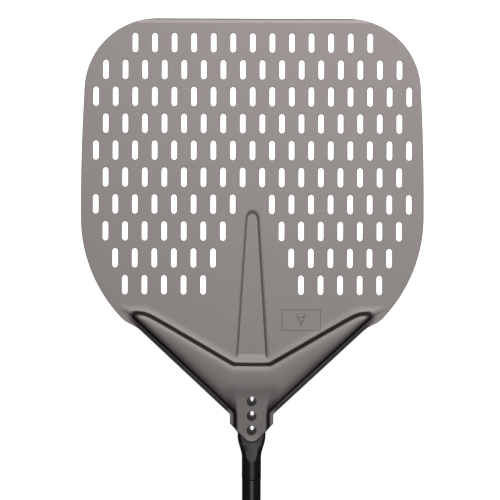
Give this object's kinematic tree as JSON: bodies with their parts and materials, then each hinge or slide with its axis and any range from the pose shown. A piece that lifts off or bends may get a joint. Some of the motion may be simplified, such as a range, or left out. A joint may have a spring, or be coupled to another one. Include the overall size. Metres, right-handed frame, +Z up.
{
  "type": "pizza peel",
  "caption": "Perforated rounded-square pizza peel with raised wings behind the blade, a riveted neck tube and a long screw-on tube handle with a sliding mid grip.",
  "frame": {"origin": "on the face the blade rests on, on the centre line, halfway between the front edge and the nose of the head", "axes": "+Y towards the blade's front edge, -Y along the handle, +Z up through the blade's top face, X across the blade"},
  "size_m": [0.36, 1.2, 0.024],
  "materials": {
    "blade_alu": "grey hard-anodised, fine satin",
    "black_neck": "black anodised, matt",
    "black_tube": "black anodised, satin",
    "rivet_steel": "polished stainless steel",
    "brass_insert": "turned",
    "washer_rubber": "matt black",
    "stud_steel": "zinc plated",
    "plug_alu": "turned",
    "grip_polymer": "matt, finely textured"
  },
  "bodies": {
    "head": {"blade": "blade_alu", "neck_tube": "black_neck", "neck_insert": "brass_insert", "rivet_front": "rivet_steel", "rivet_middle": "rivet_steel", "rivet_rear": "rivet_steel"},
    "washer": {"joint_washer": "washer_rubber"},
    "handle": {"threaded_stud": "stud_steel", "handle_plug": "plug_alu", "handle_tube": "black_tube", "end_grip": "grip_polymer"},
    "mid_grip": {"mid_grip": "grip_polymer"}
  },
  "joints": [
    {"name": "handle_withdraw", "type": "slide", "parent": "head", "child": "washer", "axis": [0, -1, 0], "range_m": [0, 0.015]},
    {"name": "handle_turn", "type": "hinge", "parent": "washer", "child": "handle", "pos_m": [0, -0.2611, 0.012], "axis": [0, -1, 0], "range_deg": [0, 3600]},
    {"name": "mid_grip_slide", "type": "slide", "parent": "handle", "child": "mid_grip", "axis": [0, 1, 0], "range_m": [-0.279, 0.174]}
  ],
  "couplings": [
    {"joint": "handle_turn", "follows": "handle_withdraw", "rad_per_m": 4188.8}
  ]
}
